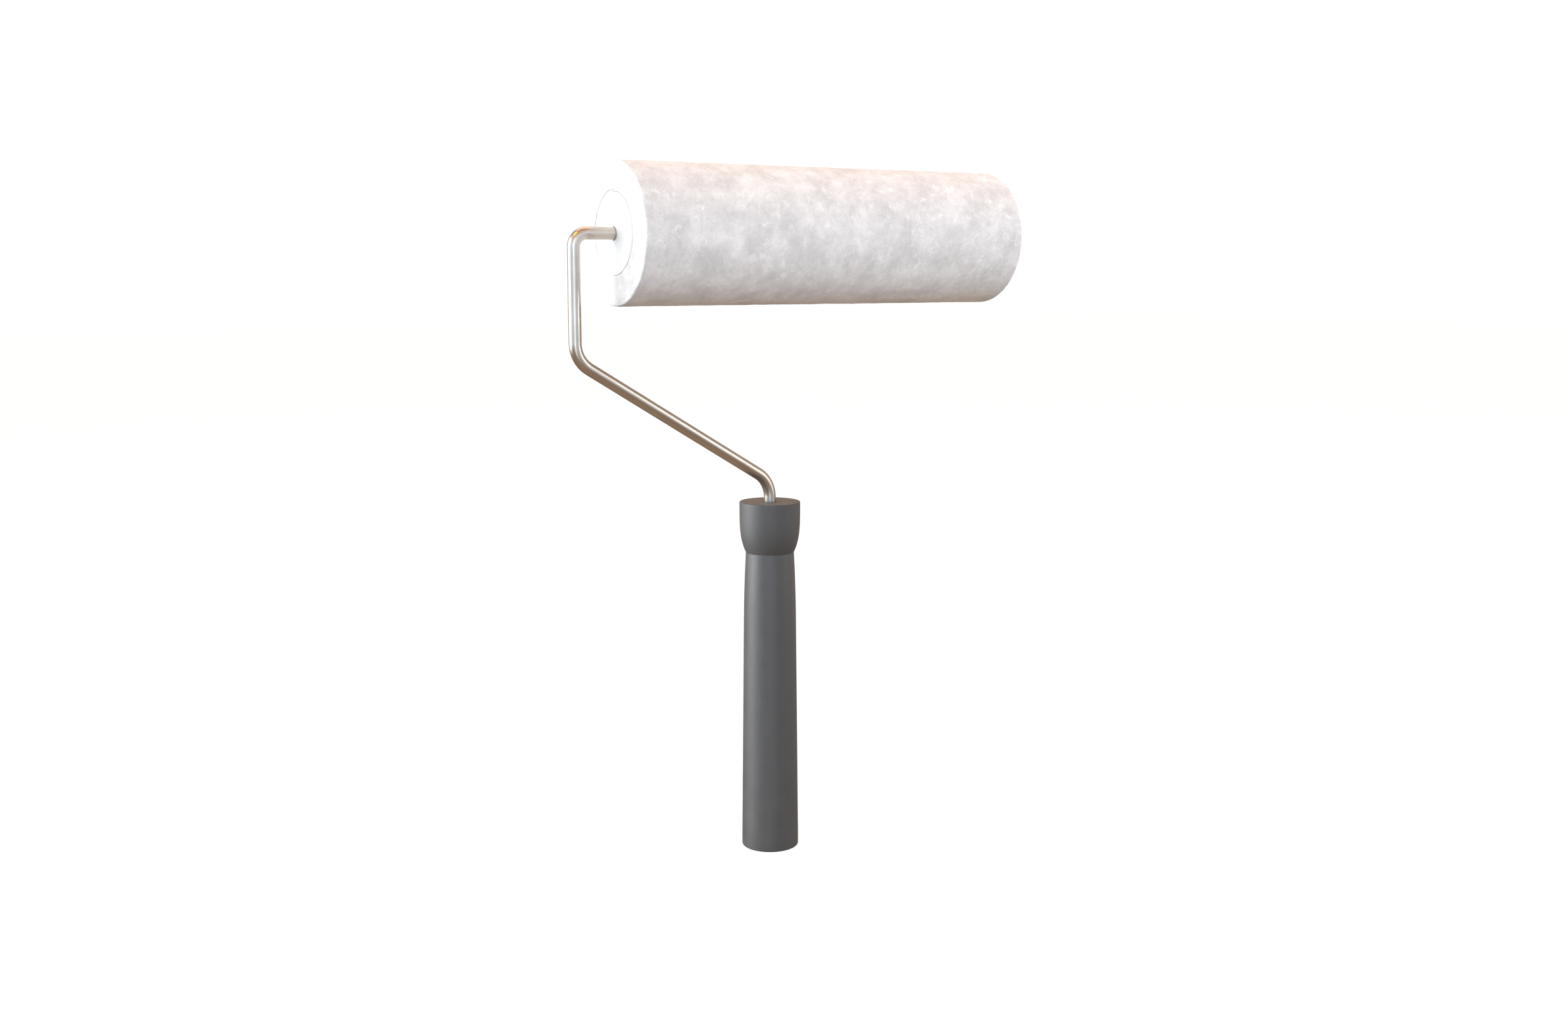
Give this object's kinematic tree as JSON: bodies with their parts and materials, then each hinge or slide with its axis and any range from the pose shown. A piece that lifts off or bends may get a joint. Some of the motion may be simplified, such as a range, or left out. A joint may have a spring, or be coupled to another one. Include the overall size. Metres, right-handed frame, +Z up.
{
  "type": "paint roller",
  "caption": "Hand paint roller: a fleece cover on a wire cage that spins on a bent steel rod, with a flared collar on a round grip and a pole socket in its base.",
  "frame": {"origin": "centre of the mouth of the pole socket, at the bottom of the handle", "axes": "+Z up the handle's axis, +X along the roller's axis, away from the rod's upright"},
  "size_m": [0.2549, 0.072, 0.366],
  "materials": {
    "rod_steel": "satin",
    "hardware_steel": "satin",
    "spring_steel": "satin",
    "grip_plastic": "matte",
    "collar_plastic": "matte",
    "inner_plastic": "matte",
    "cap_plastic": "satin",
    "bushing_nylon": "satin",
    "core_plastic": "matte",
    "nap_fleece": "matte"
  },
  "bodies": {
    "frame": {"frame_rod": "rod_steel", "stop_ring": "hardware_steel", "thrust_washer_inner": "hardware_steel", "thrust_washer_outer": "hardware_steel", "push_nut": "hardware_steel", "tang_pin": "hardware_steel", "handle_core": "inner_plastic", "grip_sleeve": "grip_plastic", "handle_collar": "collar_plastic", "pole_socket": "inner_plastic"},
    "cage": {"cage_cap_inner": "cap_plastic", "cage_cap_outer": "cap_plastic", "bushing_inner": "bushing_nylon", "bushing_outer": "bushing_nylon", "cage_wire_1": "spring_steel", "cage_wire_2": "spring_steel", "cage_wire_3": "spring_steel", "cage_wire_4": "spring_steel", "cage_wire_5": "spring_steel", "cage_spider": "cap_plastic", "end_plug": "cap_plastic"},
    "cover": {"core_tube": "core_plastic", "nap": "nap_fleece"}
  },
  "joints": [
    {"name": "cage_spin", "type": "hinge", "parent": "frame", "child": "cage", "pos_m": [0, 0, 0.33], "axis": [1, 0, 0], "continuous": true},
    {"name": "cover_slide", "type": "slide", "parent": "cage", "child": "cover", "axis": [1, 0, 0], "range_m": [0, 0.235]}
  ]
}
